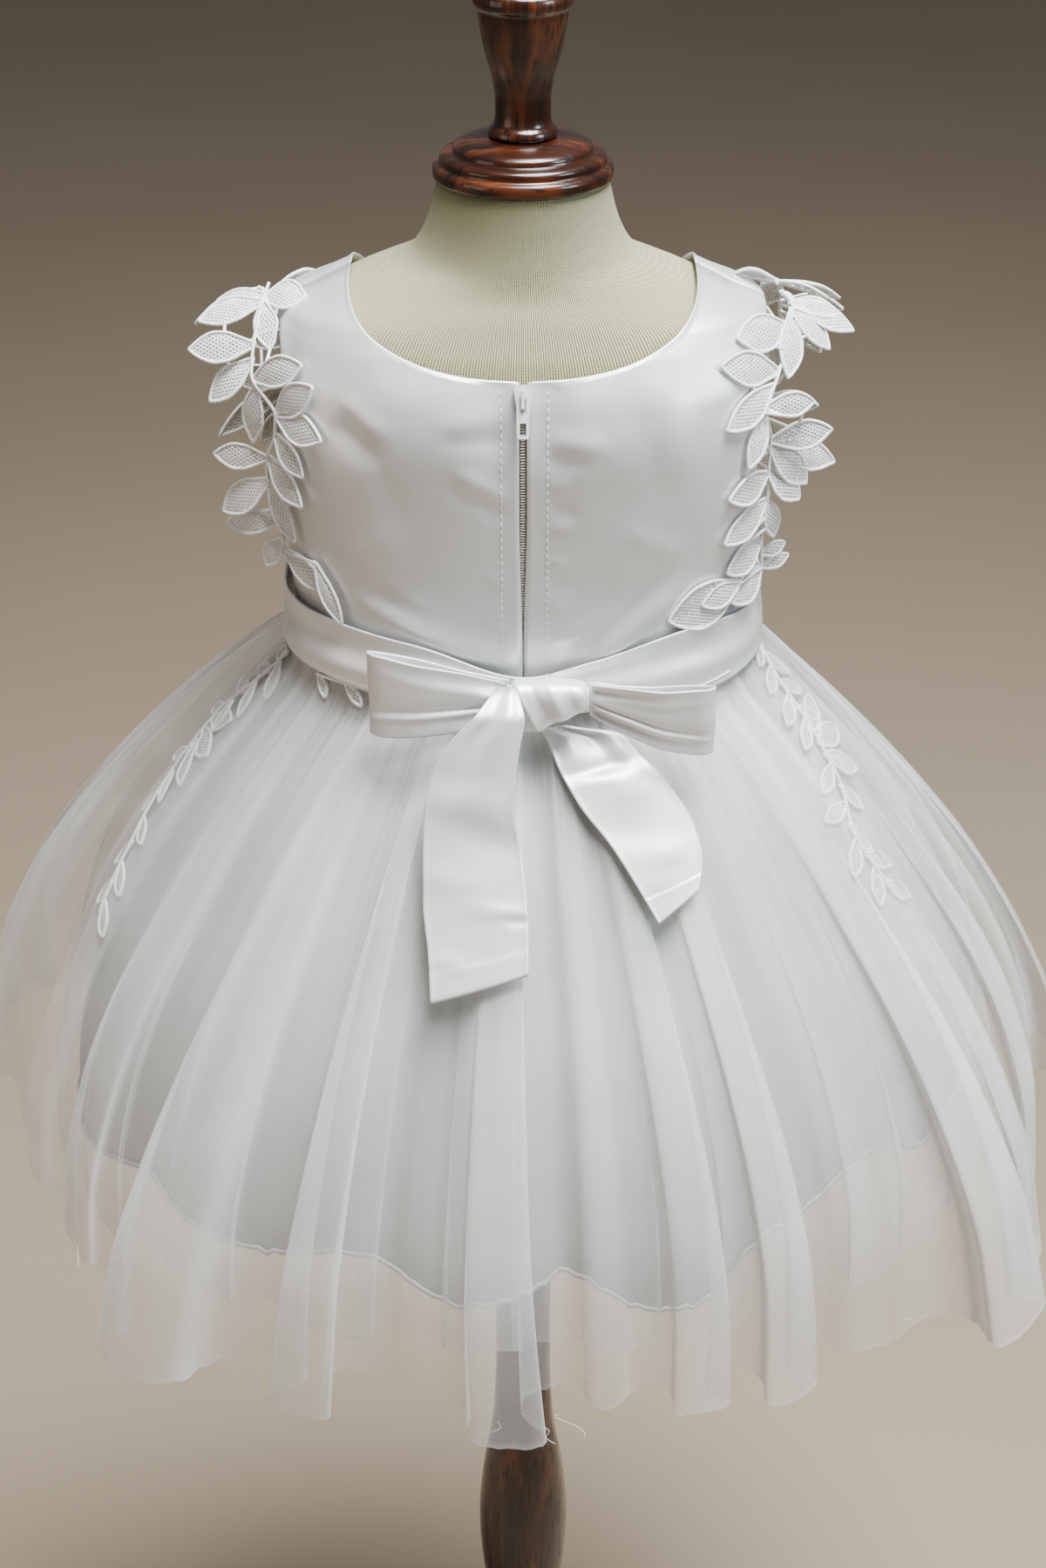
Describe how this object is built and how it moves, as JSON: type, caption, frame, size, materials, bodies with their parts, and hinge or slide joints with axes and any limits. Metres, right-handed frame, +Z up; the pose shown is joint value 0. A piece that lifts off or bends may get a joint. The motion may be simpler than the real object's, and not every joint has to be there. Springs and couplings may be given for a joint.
{
  "type": "flower girl dress on a child dress form",
  "caption": "Sleeveless flower girl dress with a back zip, satin bow sash, leaf lace and a layered tulle skirt, worn by a limbless child form on a turned wooden stand.",
  "frame": {"origin": "middle of the base's underside, on the floor", "axes": "+Z up, -Y towards the back of the dress where the zip and the bow are, -X towards the wearer's left"},
  "size_m": [0.5098, 0.4255, 1.0634],
  "materials": {
    "satin_white": "white satin with a soft sheen",
    "tulle_white": "fine white net, sheer",
    "lace_white": "corded embroidery lace",
    "form_knit": "cream rib jersey stretched over the form",
    "wood_dark": "glossy dark red-brown lacquer",
    "zip_enamel": "pale grey enamel",
    "zip_nylon": "cream woven tape and nylon coil"
  },
  "bodies": {
    "root": {"stand_base": "wood_dark", "stand_column": "wood_dark", "form_torso": "form_knit", "neck_cap_flange": "wood_dark", "neck_cap_post": "wood_dark", "bodice_front": "satin_white", "bodice_back_left": "satin_white", "bodice_back_right": "satin_white", "skirt_lining_back": "satin_white", "skirt_lining_front": "satin_white", "skirt_tulle_inner_back": "tulle_white", "skirt_tulle_inner_front": "tulle_white", "skirt_tulle_outer_back": "tulle_white", "skirt_tulle_outer_front": "tulle_white", "sash_front": "satin_white", "sash_back_left": "satin_white", "sash_back_right": "satin_white", "bow_loop_left": "satin_white", "bow_loop_right": "satin_white", "bow_knot": "satin_white", "bow_tail_left": "satin_white", "bow_tail_right": "satin_white", "armhole_lace_left": "lace_white", "armhole_lace_right": "lace_white", "skirt_lace_left": "lace_white", "skirt_lace_right": "lace_white", "zip_tape": "zip_nylon", "zip_slider": "zip_enamel"},
    "pull_tab": {"zip_pull": "zip_enamel"}
  },
  "joints": [
    {"name": "pull_swing", "type": "hinge", "parent": "root", "child": "pull_tab", "pos_m": [0, -0.06511, 0.92263], "axis": [-1, 0, 0], "range_deg": [0, 150]}
  ]
}
